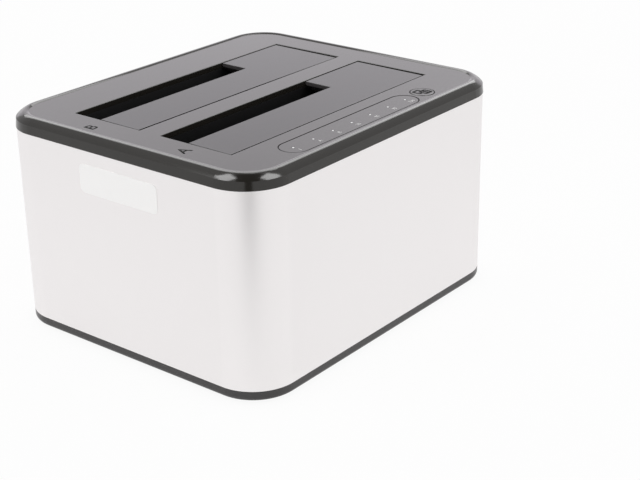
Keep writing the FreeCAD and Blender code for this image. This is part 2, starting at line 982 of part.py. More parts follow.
def make_power_coils():
    half = coil_side / 2
    x = board_half - coil_from_right
    top = board_top_z + coil_height
    row_pitch = middle_row_y - front_row_y
    rows = [front_row_y + row_pitch * number for number in range(coil_rows)]
    return Part.makeCompound(
        [
            soft_box(x - half, x + half, y - half, y + half, board_top_z, top, coil_corner, Z_AXIS)
            for y in rows
        ]
    )


def make_crystals():
    half_x = crystal_length / 2
    half_y = crystal_width / 2
    top = board_top_z + crystal_height
    end_radius = half_y - ROUND_SLACK
    places = [(crystal_from_left - board_half, middle_row_y), (board_half - crystal_from_right, front_row_y)]
    return Part.makeCompound(
        [
            soft_box(x - half_x, x + half_x, y - half_y, y + half_y, board_top_z, top, end_radius, Z_AXIS)
            for x, y in places
        ]
    )


def make_capacitors():
    right_can = board_half - can_from_right
    groove_z = board_top_z + can_groove_rise
    groove_top = groove_z + can_groove * 2
    pieces = []
    for x in (can_from_left - board_half, right_can - can_pitch, right_can):
        can = upright(x, can_y, board_top_z, board_top_z + can_height, can_radius)
        groove = upright(x, can_y, groove_z, groove_top, can_radius + THROUGH)
        core = upright(x, can_y, groove_z, groove_top, can_radius - can_groove)
        pieces.append(can.cut(groove.cut(core)))
    return Part.makeCompound(pieces)


def make_cable_headers():
    half_x = header_length / 2
    half_y = header_width / 2
    low_z = front_board_z - front_board_wall - header_height
    spans = [(board_top_z, board_top_z + header_height), (low_z, low_z + header_height)]
    return Part.makeCompound(
        [
            soft_box(
                strip_middle_x - half_x,
                strip_middle_x + half_x,
                cable_middle_y - half_y,
                cable_middle_y + half_y,
                z0,
                z1,
                header_corner,
                Z_AXIS,
            )
            for z0, z1 in spans
        ]
    )


def make_ribbon_cable():
    """A flat cable that bows a little between its two headers."""
    low = board_top_z + header_height
    high = front_board_z - front_board_wall - header_height
    middle = (low + high) / 2
    x = strip_middle_x - cable_width / 2
    near = cable_middle_y - cable_wall / 2
    far = cable_middle_y + cable_wall / 2
    edges = [
        Part.Arc(point(x, near, low), point(x, near - cable_bow, middle), point(x, near, high)).toShape(),
        Part.makeLine(point(x, near, high), point(x, far, high)),
        Part.Arc(point(x, far, high), point(x, far - cable_bow, middle), point(x, far, low)).toShape(),
        Part.makeLine(point(x, far, low), point(x, near, low)),
    ]
    return Part.Face(Part.Wire(edges)).extrude(X_AXIS * cable_width)


def port_box(middle_x, width, low_z, height, y0, y1, radius):
    return soft_box(middle_x - width / 2, middle_x + width / 2, y0, y1, low_z, low_z + height, radius, Y_AXIS)


def make_connector_panel():
    """A shallow tray set in the sleeve's window, with a flange inside the sleeve."""
    back = panel_face_y - panel_wall
    hollow = panel_window(-panel_play - panel_side_wall, panel_face_y, sleeve_back_y + THROUGH)
    tray = panel_window(-panel_play, back, sleeve_back_y)
    flange_y = sleeve_back_y - sleeve_wall - lip_play
    flange = panel_window(panel_flange, flange_y - panel_flange_wall, flange_y)
    panel = join([tray, flange])
    cuts = [
        hollow,
        port_box(
            usb_middle_x,
            usb_outer_width + 2 * port_play,
            board_top_z - port_play,
            usb_outer_height + 2 * port_play,
            back - THROUGH,
            panel_face_y + THROUGH,
            port_hole_corner,
        ),
        along_y(
            back - THROUGH,
            panel_face_y + THROUGH,
            jack_middle_x,
            jack_bore_z,
            jack_collar_radius + port_play,
        ),
        port_box(
            rocker_middle_x,
            rocker_body_length + 2 * port_play,
            panel_middle_z - rocker_body_height / 2 - port_play,
            rocker_body_height + 2 * port_play,
            back - THROUGH,
            panel_face_y + THROUGH,
            port_corner,
        ),
    ]
    return cut(panel, cuts)


def usb_mouth_low_z():
    return board_top_z + (usb_outer_height - usb_mouth_height - usb_upper_height) / 2


def usb_mouth(y0, y1):
    """The lower opening with its two bevelled upper corners, and the narrower one above it."""
    low = usb_mouth_low_z()
    step = low + usb_mouth_height
    half = usb_mouth_width / 2
    lower = box(usb_middle_x - half, usb_middle_x + half, y0, y1, low, step)
    bevels = [e for e in edges_at(lower, step, Z_AXIS) if runs_along(e, Y_AXIS)]
    lower = lower.makeChamfer(usb_mouth_bevel, bevels)
    upper_half = usb_upper_width / 2
    upper_top = step + usb_upper_height
    upper = box(usb_middle_x - upper_half, usb_middle_x + upper_half, y0, y1, step - SUNK, upper_top)
    return lower.fuse(upper)


def make_usb_shell():
    shell = port_box(
        usb_middle_x,
        usb_outer_width,
        board_top_z,
        usb_outer_height,
        port_face_y - usb_length,
        port_face_y,
        port_corner,
    )
    return cut(shell, [usb_mouth(port_face_y - usb_mouth_depth, port_face_y + THROUGH)])


def make_usb_tongue():
    low = usb_mouth_low_z()
    y0 = port_face_y - usb_mouth_depth
    y1 = port_face_y - usb_tongue_recess
    tongue_low = low + (usb_mouth_height - usb_tongue_height) / 2
    upper_low = low + usb_mouth_height + (usb_upper_height - usb_upper_tongue_height) / 2
    lower = port_box(usb_middle_x, usb_tongue_width, tongue_low, usb_tongue_height, y0, y1, usb_tongue_round)
    upper = port_box(
        usb_middle_x,
        usb_upper_tongue_width,
        upper_low,
        usb_upper_tongue_height,
        y0,
        y1,
        usb_upper_tongue_round,
    )
    return Part.makeCompound([lower, upper])


def make_dc_jack():
    back = port_face_y - jack_length
    body_front = panel_face_y - panel_wall - port_play
    body = port_box(jack_middle_x, jack_width, board_top_z, jack_height, back, body_front, port_corner)
    collar = along_y(body_front - SUNK, port_face_y, jack_middle_x, jack_bore_z, jack_collar_radius)
    jack = join([body, collar])
    jack = jack.makeChamfer(port_chamfer, edges_at(jack, port_face_y, Y_AXIS))
    bore_end = port_face_y - jack_bore_depth
    return cut(jack, [along_y(bore_end, port_face_y + THROUGH, jack_middle_x, jack_bore_z, jack_bore_radius)])


def make_dc_pin():
    start = port_face_y - jack_bore_depth
    pin = along_y(start, port_face_y - jack_pin_recess, jack_middle_x, jack_bore_z, jack_pin_radius)
    tip = [e for e in pin.Edges if e.Closed and e.CenterOfMass.y > start + THROUGH]
    return pin.makeFillet(jack_pin_round, tip)


def make_switch_housing():
    face = panel_face_y + rocker_bezel_wall

    def layer(length, height, y0, y1, corner):
        low = panel_middle_z - height / 2
        return port_box(rocker_middle_x, length, low, height, y0, y1, corner)

    bezel = layer(rocker_bezel_length, rocker_bezel_height, panel_face_y, face, rocker_bezel_corner)
    bezel = bezel.makeChamfer(port_chamfer, edges_at(bezel, face, Y_AXIS))
    body_back = panel_face_y - rocker_body_depth
    body_front = panel_face_y + rocker_bezel_wall / 2
    body = layer(rocker_body_length, rocker_body_height, body_back, body_front, rocker_body_corner)
    mouth_low = face - rocker_mouth_depth
    mouth = layer(rocker_mouth_length, rocker_mouth_height, mouth_low, face + THROUGH, rocker_mouth_corner)
    pivot = upright(
        rocker_middle_x,
        rocker_pivot_y,
        panel_middle_z - rocker_body_height / 2 - THROUGH,
        panel_middle_z + rocker_body_height / 2 + THROUGH,
        rocker_pin_radius + rocker_pin_play,
    )
    return cut(join([bezel, body]), [mouth, pivot])


def make_power_rocker():
    """A paddle with a shallow valley, tipped to its off side, with a pivot stub at each end."""
    half = rocker_mouth_length / 2 - 2 * rocker_gap
    half_height = rocker_mouth_height / 2 - rocker_gap
    tip = rocker_pivot_depth + rocker_tip_rise
    heel_half = half - rocker_heel_inset
    z = panel_middle_z - half_height
    tip_left = point(-half, tip, z)
    tip_right = point(half, tip, z)
    heel_right = point(heel_half, -rocker_heel_depth, z)
    heel_left = point(-heel_half, -rocker_heel_depth, z)
    edges = [
        Part.Arc(tip_left, point(0, rocker_pivot_depth, z), tip_right).toShape(),
        Part.makeLine(tip_right, heel_right),
        Part.Arc(heel_right, point(0, -rocker_belly_depth, z), heel_left).toShape(),
        Part.makeLine(heel_left, tip_left),
    ]
    paddle = Part.Face(Part.Wire(edges)).extrude(Z_AXIS * 2 * half_height)
    stub_half = rocker_mouth_height / 2 + rocker_pin_length
    stubs = upright(0, 0, panel_middle_z - stub_half, panel_middle_z + stub_half, rocker_pin_radius)
    rocker = join([paddle, stubs])
    rocker.rotate(ORIGIN, Z_AXIS, -rocker_swing / 2)
    rocker.translate(point(rocker_middle_x, rocker_pivot_y, 0))
    return rocker


def make_switch_terminals():
    y1 = panel_face_y - rocker_body_depth
    y0 = y1 - terminal_length
    half = terminal_width / 2
    low = panel_middle_z - terminal_wall / 2
    return Part.makeCompound(
        [
            box(
                rocker_middle_x + side * terminal_offset - half,
                rocker_middle_x + side * terminal_offset + half,
                y0,
                y1,
                low,
                low + terminal_wall,
            )
            for side in (-1, 1)
        ]
    )


def make_switch_leads():
    y = panel_face_y - rocker_body_depth - terminal_length / 2
    high = panel_middle_z - terminal_wall / 2
    return Part.makeCompound(
        [
            upright(rocker_middle_x + side * terminal_offset, y, board_top_z, high, lead_radius)
            for side in (-1, 1)
        ]
    )


def make_case_screws():
    return Part.makeCompound(
        [
            screw(x, y, case_seat_z, case_screw_length, case_screw_radius, case_head_radius, case_head_height)
            for x, y in post_places()
        ]
    )


def small_screw(x, y, seat_z, length):
    return screw(x, y, seat_z, length, small_screw_radius, small_head_radius, small_head_height)


def make_bay_screws():
    seat = ear_z - ear_wall
    return Part.makeCompound([small_screw(x, y, seat, ear_screw_length) for x, y in ear_screw_places()])


def make_front_board_screws():
    seat = front_board_z - front_board_wall
    return Part.makeCompound(
        [small_screw(x, strip_middle_y, seat, board_screw_length) for x in front_boss_places]
    )


def make_board_screws():
    pieces = []
    for x, y in board_boss_places():
        piece = small_screw(x, y, 0, board_screw_length).mirror(ORIGIN, Z_AXIS)
        piece.translate(point(0, 0, board_top_z))
        pieces.append(piece)
    return Part.makeCompound(pieces)


def make_blank_label():
    face_x = -case_width / 2 + sleeve_setback
    half_y = label_length / 2
    half_z = label_height / 2
    return soft_box(
        face_x - label_wall,
        face_x,
        label_middle_y - half_y,
        label_middle_y + half_y,
        label_middle_z - half_z,
        label_middle_z + half_z,
        label_corner,
        X_AXIS,
    )


def main():
    os.makedirs("parts", exist_ok=True)
    nodes = {
        "top_cover": make_top_cover(),
        "aluminium_sleeve": make_aluminium_sleeve(),
        "base_cover": make_base_cover(),
        "rubber_feet": make_rubber_feet(),
        "status_strip": make_status_strip(),
        "light_guides": make_light_guides(),
        "status_leds": make_status_leds(),
        "front_board": make_front_board(),
        "clone_button": make_clone_button(),
        "key_plunger": make_key_plunger(),
        "button_key": make_button_key(),
        "main_board": make_main_board(),
        "control_chips": make_control_chips(),
        "power_coils": make_power_coils(),
        "crystals": make_crystals(),
        "capacitors": make_capacitors(),
        "cable_headers": make_cable_headers(),
        "ribbon_cable": make_ribbon_cable(),
        "connector_panel": make_connector_panel(),
        "usb_shell": make_usb_shell(),
        "usb_tongue": make_usb_tongue(),
        "dc_jack": make_dc_jack(),
        "dc_pin": make_dc_pin(),
        "switch_housing": make_switch_housing(),
        "power_rocker": make_power_rocker(),
        "switch_terminals": make_switch_terminals(),
        "switch_leads": make_switch_leads(),
        "case_screws": make_case_screws(),
        "bay_screws": make_bay_screws(),
        "board_screws": make_board_screws(),
        "front_board_screws": make_front_board_screws(),
        "blank_label": make_blank_label(),
    }
    for letter, middle_y in bays.items():
        nodes["bay_well_" + letter] = make_bay_well(middle_y)
        nodes["flap_" + letter] = make_flap(middle_y)
        nodes["flap_pin_" + letter] = make_flap_pin(middle_y)
        nodes["flap_spring_" + letter] = make_flap_spring(middle_y)
        nodes["drive_socket_" + letter] = make_drive_socket(middle_y)
    for name, shape in nodes.items():
        print(name, len(shape.Solids), shape.isValid(), round(shape.Volume, 1))
        shape.exportStep("parts/" + name + ".step")


main()
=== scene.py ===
import math

import bmesh
import bpy
from mathutils import Matrix, Quaternion, Vector


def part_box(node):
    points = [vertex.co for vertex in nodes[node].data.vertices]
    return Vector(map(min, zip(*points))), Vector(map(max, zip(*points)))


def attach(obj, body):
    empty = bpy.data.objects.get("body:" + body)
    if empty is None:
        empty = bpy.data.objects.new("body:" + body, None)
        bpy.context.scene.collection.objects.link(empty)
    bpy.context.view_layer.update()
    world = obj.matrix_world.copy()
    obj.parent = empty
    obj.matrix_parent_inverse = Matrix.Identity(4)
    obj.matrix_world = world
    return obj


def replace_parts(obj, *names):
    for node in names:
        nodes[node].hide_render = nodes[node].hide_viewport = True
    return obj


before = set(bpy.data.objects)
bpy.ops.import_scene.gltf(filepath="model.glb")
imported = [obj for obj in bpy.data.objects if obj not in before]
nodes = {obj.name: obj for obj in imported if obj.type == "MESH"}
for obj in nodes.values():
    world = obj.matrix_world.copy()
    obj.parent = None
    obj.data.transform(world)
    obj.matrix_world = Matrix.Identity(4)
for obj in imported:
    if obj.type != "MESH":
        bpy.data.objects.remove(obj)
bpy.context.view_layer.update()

# Sizes and places are in millimetres, but those of the studio's floor, cards and lights are in metres.
MM = 0.001

# Camera: it looks down on the near left corner of the dock, as the photograph does.
eye = Vector((-352.4, -309.8, 222.8)) * MM
camera_azimuth = math.radians(-51.28)
camera_elevation = math.radians(23.33)
camera_roll = math.radians(-0.915)
focal_pixels = 1424.0
photo_pixels = 640.0
sensor_width = 36.0
back = Vector((
    math.sin(camera_azimuth) * math.cos(camera_elevation),
    -math.cos(camera_azimuth) * math.cos(camera_elevation),
    math.sin(camera_elevation),
))
camera_data = bpy.data.cameras.new("camera")
camera_data.sensor_width = sensor_width
camera_data.lens = focal_pixels * sensor_width / photo_pixels
camera_data.clip_start = 0.01
camera = bpy.data.objects.new("camera", camera_data)
bpy.context.collection.objects.link(camera)
camera.location = eye
camera.rotation_mode = "QUATERNION"
camera.rotation_quaternion = (-back).to_track_quat("-Z", "Y") @ Quaternion((0, 0, 1), camera_roll)
bpy.context.scene.camera = camera
bpy.context.scene.view_settings.view_transform = "Standard"


def box_of(name):
    """The low and high corners of a CAD node, and its middle, in millimetres."""
    low, high = (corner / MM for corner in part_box(name))
    return low, high, (low + high) / 2


class Flow:
    """One value in a shader. Sums and products of it add the nodes that work them out."""

    def __init__(self, tree, socket=None):
        self.tree = tree
        self.socket = socket

    def node(self, kind, settings=None, values=None, out=0):
        """Adds a node, its settings first, then the values or links of its sockets."""
        made = self.tree.nodes.new(kind)
        for name, value in (settings or {}).items():
            setattr(made, name, value)
        for name, value in (values or {}).items():
            if isinstance(value, Flow):
                self.tree.links.new(value.socket, made.inputs[name])
            else:
                made.inputs[name].default_value = value
        return Flow(self.tree, made.outputs[out])

    def reckon(self, operation, *terms):
        return self.node("ShaderNodeMath", {"operation": operation}, dict(enumerate(terms)))

    def limited(self):
        """The value, kept between 0 and 1."""
        return self.node("ShaderNodeMath", {"operation": "ADD", "use_clamp": True}, {0: self, 1: 0.0})

    def __add__(self, other):
        return self.reckon("ADD", self, other)

    def __radd__(self, other):
        return self.reckon("ADD", other, self)

    def __sub__(self, other):
        return self.reckon("SUBTRACT", self, other)

    def __rsub__(self, other):
        return self.reckon("SUBTRACT", other, self)

    def __mul__(self, other):
        return self.reckon("MULTIPLY", self, other)

    def __rmul__(self, other):
        return self.reckon("MULTIPLY", other, self)

    def __gt__(self, other):
        return self.reckon("GREATER_THAN", self, other)

    def __lt__(self, other):
        return self.reckon("LESS_THAN", self, other)


def grey(level):
    """A neutral colour, given as the linear value that a shader takes."""
    return (level, level, level, 1.0)


def colour(r, g, b):
    """A colour given as it shows on a screen, 0 to 255, as the linear values that a shader takes."""
    def linear(level):
        level = level / 255.0
        return level / 12.92 if level <= 0.04045 else ((level + 0.055) / 1.055) ** 2.4
    return (linear(r), linear(g), linear(b), 1.0)


def toned(shade, share):
    """A colour made darker or lighter, to a share of what it was."""
    return tuple(min(level * share, 1.0) for level in shade[:3]) + (1.0,)


def blend(flow, share, first, second):
    """A colour part of the way from the first to the second."""
    return flow.node("ShaderNodeMix", {"data_type": "RGBA"}, {0: share, 6: first, 7: second}, out=2)


def noise(flow, where, size, detail=3.0):
    """Soft noise whose lumps are about size millimetres across."""
    return flow.node("ShaderNodeTexNoise", None,
                     {"Vector": where, "Scale": 1.0 / (size * MM), "Detail": detail, "Roughness": 0.55})


def place(flow):
    """Where on the dock the shader is at work."""
    return flow.node("ShaderNodeTexCoord", None, None, out="Object")


def split(flow, where):
    """The three parts of a place."""
    return [flow.node("ShaderNodeSeparateXYZ", None, {"Vector": where}, out=axis) for axis in "XYZ"]


def stretched(flow, where, x, y, z):
    """A place with each of its parts made larger or smaller, which draws a pattern out the other way."""
    return flow.node("ShaderNodeVectorMath", {"operation": "MULTIPLY"}, {0: where, 1: (x, y, z)})


def relief(flow, height, depth):
    """A bump whose full height is depth millimetres."""
    return flow.node("ShaderNodeBump", None, {"Height": height, "Distance": depth * MM, "Strength": 1.0})


def new_finish(name, fixed=None):
    """A material, its shader's fixed values set, and the flow that its nodes are added with."""
    material = bpy.data.materials.new(name)
    material.use_nodes = True
    shader = material.node_tree.nodes["Principled BSDF"]
    for socket, value in (fixed or {}).items():
        shader.inputs[socket].default_value = value
    return material, shader, Flow(material.node_tree)


def feed(flow, shader, **links):
    """Links values to the shader's sockets, named with _ for each space."""
    for socket, value in links.items():
        flow.tree.links.new(value.socket, shader.inputs[socket.replace("_", " ")])


def paint_shade(material, flow, share):
    """Paints plain dark shade on the share of the surface that lies in a narrow gap."""
    ends = material.node_tree.nodes["Material Output"].inputs["Surface"]
    bright = Flow(flow.tree, material.node_tree.nodes["Principled BSDF"].outputs[0])
    painted_dark = flow.node("ShaderNodeBsdfDiffuse", None, {"Color": grey(0.002)})
    flow.tree.links.new(flow.node("ShaderNodeMixShader", None, {0: share, 1: bright, 2: painted_dark}).socket, ends)


def moulded(name, shade, roughness, grain=0.25, depth=0.004, mottle=0.12, fixed=None, gap_shade=None, painted_light=None):
    """Moulded plastic: a fine spark-eroded grain, with soft changes of colour and gloss.

    The gap and light masks, where given, tell from X, Y and Z where painted shade darkens a narrow gap and
    where painted light makes a lit face pale.
    """
    cloud_size = 18.0
    gloss_change = 0.03
    lit_face_gain = 3.5
    material, shader, flow = new_finish(name, fixed)
    where = place(flow)
    # Painted shade: the parts in a narrow gap are turned dark in the shader.
    if gap_shade:
        paint_shade(material, flow, gap_shade(*split(flow, where)))
    cloud = noise(flow, where, cloud_size)
    fine = noise(flow, where, grain, detail=2.0)
    mixed = blend(flow, cloud, toned(shade, 1.0 - mottle), toned(shade, 1.0 + mottle))
    # Painted light: a lit face is made paler in its colour, not worn.
    if painted_light:
        mixed = blend(flow, painted_light(*split(flow, where)), mixed, toned(shade, lit_face_gain))
    feed(flow, shader,
         Base_Color=mixed,
         Roughness=roughness - gloss_change + cloud * gloss_change + fine * gloss_change,
         Normal=relief(flow, fine, depth))
    return material


def metal(name, shade, roughness, grain=0.4, depth=0.002, spread=(1.0, 1.0, 1.0), mottle=0.05):
    """Bare or blasted metal: a fine grain, drawn out along one way where spread says so."""
    cloud_size = 25.0
    cloud_share = 0.6
    gloss_change = 0.04
    material, shader, flow = new_finish(name, {"Metallic": 1.0})
    where = place(flow)
    cloud = noise(flow, where, cloud_size)
    fine = noise(flow, stretched(flow, where, *spread), grain)
    feed(flow, shader,
         Base_Color=blend(flow, cloud * cloud_share + fine * (1.0 - cloud_share),
                          toned(shade, 1.0 - mottle), shade),
         Roughness=roughness - gloss_change + cloud * gloss_change + fine * gloss_change,
         Normal=relief(flow, fine, depth))
    return material


# Places on the top that the finishes, the marks and the lamps share.
strip_low, strip_high, strip_middle = box_of("status_strip")
button_from_strip = 5.9
button_x = strip_high.x + button_from_strip
button_top = box_of("clone_button")[1].z
plate_below_rim = 0.35
plate_top = box_of("top_cover")[1].z - plate_below_rim
lamp_from_end = 4.2
lamp_marks = ["I", "A", "B", "25", "50", "75", "100"]
lamp_first_x = strip_low.x + lamp_from_end
lamp_pitch = (strip_high.x - strip_low.x - 2 * lamp_from_end) / (len(lamp_marks) - 1)

gloss_black = (0.0205, 0.0185, 0.0158, 1.0)
strip_edge = 0.03


def strip_wall_shade(x, y, z):
    """Where shade is painted on the strip: its walls, below its rim."""
    return (z < (strip_high.z - strip_edge) * MM) * (z > strip_low.z * MM)


cover_black = moulded("cover_black", gloss_black, roughness=0.13, grain=0.18, depth=0.001)
strip_black = moulded("strip_black", gloss_black, roughness=0.13, grain=0.18, depth=0.001, gap_shade=strip_wall_shade)


def flap_black(bay, lip):
    """The finish of a flap: painted shade in the gaps at its front and far edges, and painted light that
    makes its end wall pale where its slot ends.

    lip is how far behind its hinge the painted shade of the front gap reaches.
    """
    hinge_y = box_of("flap_pin_" + bay)[2].y
    gap_low_z = 74.0
    fade_from_x = 8.0
    fade_length = 26.0
    fade_share = 0.7
    far_edge_wall = 0.4
    far_edge_x = box_of("flap_" + bay)[1].x - far_edge_wall
    slot_end_low_x = 20.5
    slot_end_high_x = 20.8
    slot_front_y = hinge_y + 18.5

    # Painted shade: the gaps at the flap's front and far edges are made dark.
    def gap_shade(x, y, z):
        fade = 1.0 - ((x - fade_from_x * MM) * (fade_share / (fade_length * MM))).limited()
        front = (y < (hinge_y + lip) * MM) * fade
        return (front + (x > far_edge_x * MM)).limited() * (z > gap_low_z * MM)

    # Painted light: the flap's end wall where its slot ends is made paler, standing in for the light it
    # catches.
    def painted_light(x, y, z):
        return (x > slot_end_low_x * MM) * (x < slot_end_high_x * MM) * (y > slot_front_y * MM)

    return moulded("flap_" + bay + "_black", (0.0215, 0.0200, 0.0205, 1.0), roughness=0.17, grain=0.18,
                   depth=0.001, fixed={"Specular IOR Level": 0.34}, gap_shade=gap_shade, painted_light=painted_light)


flap_a_black = flap_black("a", lip=0.8)
flap_b_black = flap_black("b", lip=1.05)
base_black = moulded("base_black", (0.046, 0.043, 0.043, 1.0), roughness=0.30, depth=0.003)
well_black = moulded("well_black", (0.0105, 0.0105, 0.0112, 1.0), roughness=0.45, grain=0.35)
switch_black = moulded("switch_black", grey(0.018), roughness=0.28, grain=0.22, depth=0.002)
jack_black = moulded("jack_black", (0.015, 0.015, 0.016, 1.0), roughness=0.32, grain=0.2, depth=0.003)
foot_rubber = moulded("foot_rubber", (0.025, 0.025, 0.026, 1.0), roughness=0.75, grain=0.5, depth=0.012,
                      mottle=0.2)
header_white = moulded("header_white", colour(226, 220, 204), roughness=0.42, grain=0.3, depth=0.003,
                       mottle=0.04)
usb_blue = moulded("usb_blue", colour(24, 74, 168), roughness=0.35, grain=0.2, depth=0.002)
lead_red = moulded("lead_red", colour(170, 26, 22), roughness=0.4, grain=0.3, depth=0.002)
chip_black = moulded("chip_black", (0.014, 0.014, 0.015, 1.0), roughness=0.55, grain=0.12)
coil_grey = moulded("coil_grey", colour(92, 92, 94), roughness=0.6, grain=0.2, depth=0.008)
# The label glows faintly though it is no lamp: a painted glow that keeps its white bright.
label_white = moulded("label_white", (0.97, 0.965, 0.96, 1.0), roughness=0.42, grain=0.3, depth=0.001,
                      mottle=0.012,
                      fixed={"Coat Weight": 0.5, "Coat Roughness": 0.3,
                             "Emission Strength": 0.095, "Emission Color": (1.0, 0.98, 0.95, 1.0)})
print_dark = moulded("print_dark", grey(0.006), roughness=0.85, grain=0.15, depth=0.001,
                     fixed={"Specular IOR Level": 0.15})
print_white = moulded("print_white", colour(236, 236, 234), roughness=0.5, grain=0.15, depth=0.001,
                      mottle=0.03)
print_grey = moulded("print_grey", colour(210, 210, 209), roughness=0.5, grain=0.15, depth=0.001,
                     mottle=0.03)

sleeve_aluminium = metal("sleeve_aluminium", (0.95, 0.925, 0.924, 1.0), roughness=0.42, grain=0.22,
                         depth=0.0015, mottle=0.03)
hinge_steel = metal("hinge_steel", (0.56, 0.56, 0.57, 1.0), roughness=0.28, grain=0.3,
                    spread=(0.15, 1.0, 1.0))
key_steel = metal("key_steel", grey(0.60), roughness=0.3, grain=0.3)
screw_steel = metal("screw_steel", (0.50, 0.50, 0.51, 1.0), roughness=0.32, grain=0.25)
crystal_steel = metal("crystal_steel", (0.66, 0.65, 0.63, 1.0), roughness=0.25, spread=(1.0, 0.2, 1.0))
can_aluminium = metal("can_aluminium", (0.78, 0.78, 0.79, 1.0), roughness=0.3, spread=(1.0, 1.0, 0.2))
usb_steel = metal("usb_steel", (0.68, 0.68, 0.67, 1.0), roughness=0.24, grain=0.3, spread=(1.0, 0.2, 1.0))
contact_brass = metal("contact_brass", (0.83, 0.64, 0.30, 1.0), roughness=0.25, grain=0.2)


def lamp_plastic(name, shade):
    """Milky plastic that lets some light through, as the lamps under the light guides have."""
    material, shader, flow = new_finish(name, {"Transmission Weight": 0.35, "IOR": 1.49})
    cloud = noise(flow, place(flow), 0.8)
    feed(flow, shader,
         Base_Color=blend(flow, cloud, toned(shade, 0.9), shade),
         Roughness=0.25 + cloud * 0.1)
    return material


led_white = lamp_plastic("led_white", colour(250, 246, 230))


def light_guide(name, core_radius):
    """Clear plastic whose tips, set along the strip, show a milky core in a dark round."""
    # The tips glow faintly though they are no lamp: a painted glow that lifts the milky core.
    painted_glow = 0.12
    material, shader, flow = new_finish(name, {"Emission Strength": painted_glow})
    where = place(flow)
    along, across = split(flow, where)[:2]
    side = flow.reckon("PINGPONG", along - lamp_first_x * MM, lamp_pitch * MM / 2)
    off = across - strip_middle.y * MM
    bright = (side * side + off * off) < (core_radius * MM) ** 2
    cloud = noise(flow, where, 0.5)
    milky = blend(flow, cloud, colour(212, 212, 212), colour(228, 228, 228))
    shade = blend(flow, bright, (0.02, 0.02, 0.021, 1.0), milky)
    feed(flow, shader, Base_Color=shade, Emission_Color=shade, Roughness=0.3 + cloud * 0.1)
    return material


guide_clear = light_guide("guide_clear", core_radius=0.36)


def ribbed(name, light, dark, pitch):
    """Flat cable: round cores side by side along X, with painted shade in the valleys between them."""
    ridge_height = 0.25
    ridge_share = 0.8
    material, shader, flow = new_finish(name)
    where = place(flow)
    # The ridge is 1 on the crests and 0 in the valleys, and the colour follows it: painted shade between the
    # cores.
    ridge = flow.reckon("PINGPONG", split(flow, where)[0], pitch * MM / 2) * (2.0 / (pitch * MM))
    cloud = noise(flow, where, 4.0)
    feed(flow, shader,
         Base_Color=blend(flow, ridge * ridge_share + cloud * (1.0 - ridge_share), dark, light),
         Roughness=0.42 + cloud * 0.1,
         Normal=relief(flow, ridge, ridge_height))
    return material


cable_grey = ribbed("cable_grey", colour(160, 160, 162), colour(96, 96, 99), pitch=1.27)


def circuit_board(name):
    """Green solder mask, with the tracks that show through it."""
    cells_per_metre = 260.0
    tracks_per_cell = 9.0
    track_edge = 0.33
    track_share = 0.7
    material, shader, flow = new_finish(name)
    where = place(flow)
    cloud = noise(flow, where, 6.0)
    cells = flow.node("ShaderNodeTexVoronoi", {"distance": "MANHATTAN", "feature": "F1"},
                      {"Vector": where, "Scale": cells_per_metre})
    track = flow.reckon("PINGPONG", cells * tracks_per_cell, 0.5) > track_edge
    feed(flow, shader,
         Base_Color=blend(flow, track * track_share + cloud * (1.0 - track_share),
                          colour(12, 62, 34), colour(28, 96, 52)),
         Roughness=0.34 - track * 0.06 + cloud * 0.05,
         Normal=relief(flow, track, 0.02))
    return material


board_green = circuit_board("board_green")

finishes = {
    "top_cover": cover_black, "status_strip": strip_black, "clone_button": cover_black,
    "flap_a": flap_a_black, "flap_b": flap_b_black,
    "aluminium_sleeve": sleeve_aluminium, "blank_label": label_white,
    "base_cover": base_black, "connector_panel": base_black, "rubber_feet": foot_rubber,
    "bay_well_a": well_black, "bay_well_b": well_black,
    "drive_socket_a": jack_black, "drive_socket_b": jack_black,
    "flap_pin_a": hinge_steel, "flap_pin_b": hinge_steel,
    "flap_spring_a": hinge_steel, "flap_spring_b": hinge_steel,
    "case_screws": screw_steel, "bay_screws": screw_steel,
    "board_screws": screw_steel, "front_board_screws": screw_steel,
    "main_board": board_green, "front_board": board_green,
    "control_chips": chip_black, "power_coils": coil_grey,
    "crystals": crystal_steel, "capacitors": can_aluminium,
    "cable_headers": header_white, "ribbon_cable": cable_grey,
    "usb_shell": usb_steel, "usb_tongue": usb_blue, "dc_jack": jack_black, "dc_pin": contact_brass,
    "switch_housing": switch_black, "power_rocker": switch_black,
    "switch_terminals": contact_brass, "switch_leads": lead_red,
    "light_guides": guide_clear, "status_leds": led_white, "key_plunger": jack_black, "button_key": key_steel,
}
for name, node in nodes.items():
    node.data.materials.clear()
    node.data.materials.append(finishes[name])


def mesh_of(name, work):
    """The mesh of a piece whose shape is done."""
    mesh = bpy.data.meshes.new(name)
    work.to_mesh(mesh)
    work.free()
    return mesh


def piece(mesh, material, body):
    """A finished piece of the scene, named as its mesh, which holds its place."""
    made = bpy.data.objects.new(mesh.name, mesh)
    bpy.context.collection.objects.link(made)
    mesh.materials.append(material)
    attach(made, body)
    return made


def pushed(work, parts, move):
    """Extrudes faces, moves the new ones by a matrix, and gives them."""
    made = bmesh.ops.extrude_face_region(work, geom=parts)["geom"]
    corners = [part for part in made if isinstance(part, bmesh.types.BMVert)]
    bmesh.ops.transform(work, verts=corners, matrix=move)
    return [part for part in made if isinstance(part, bmesh.types.BMFace)]


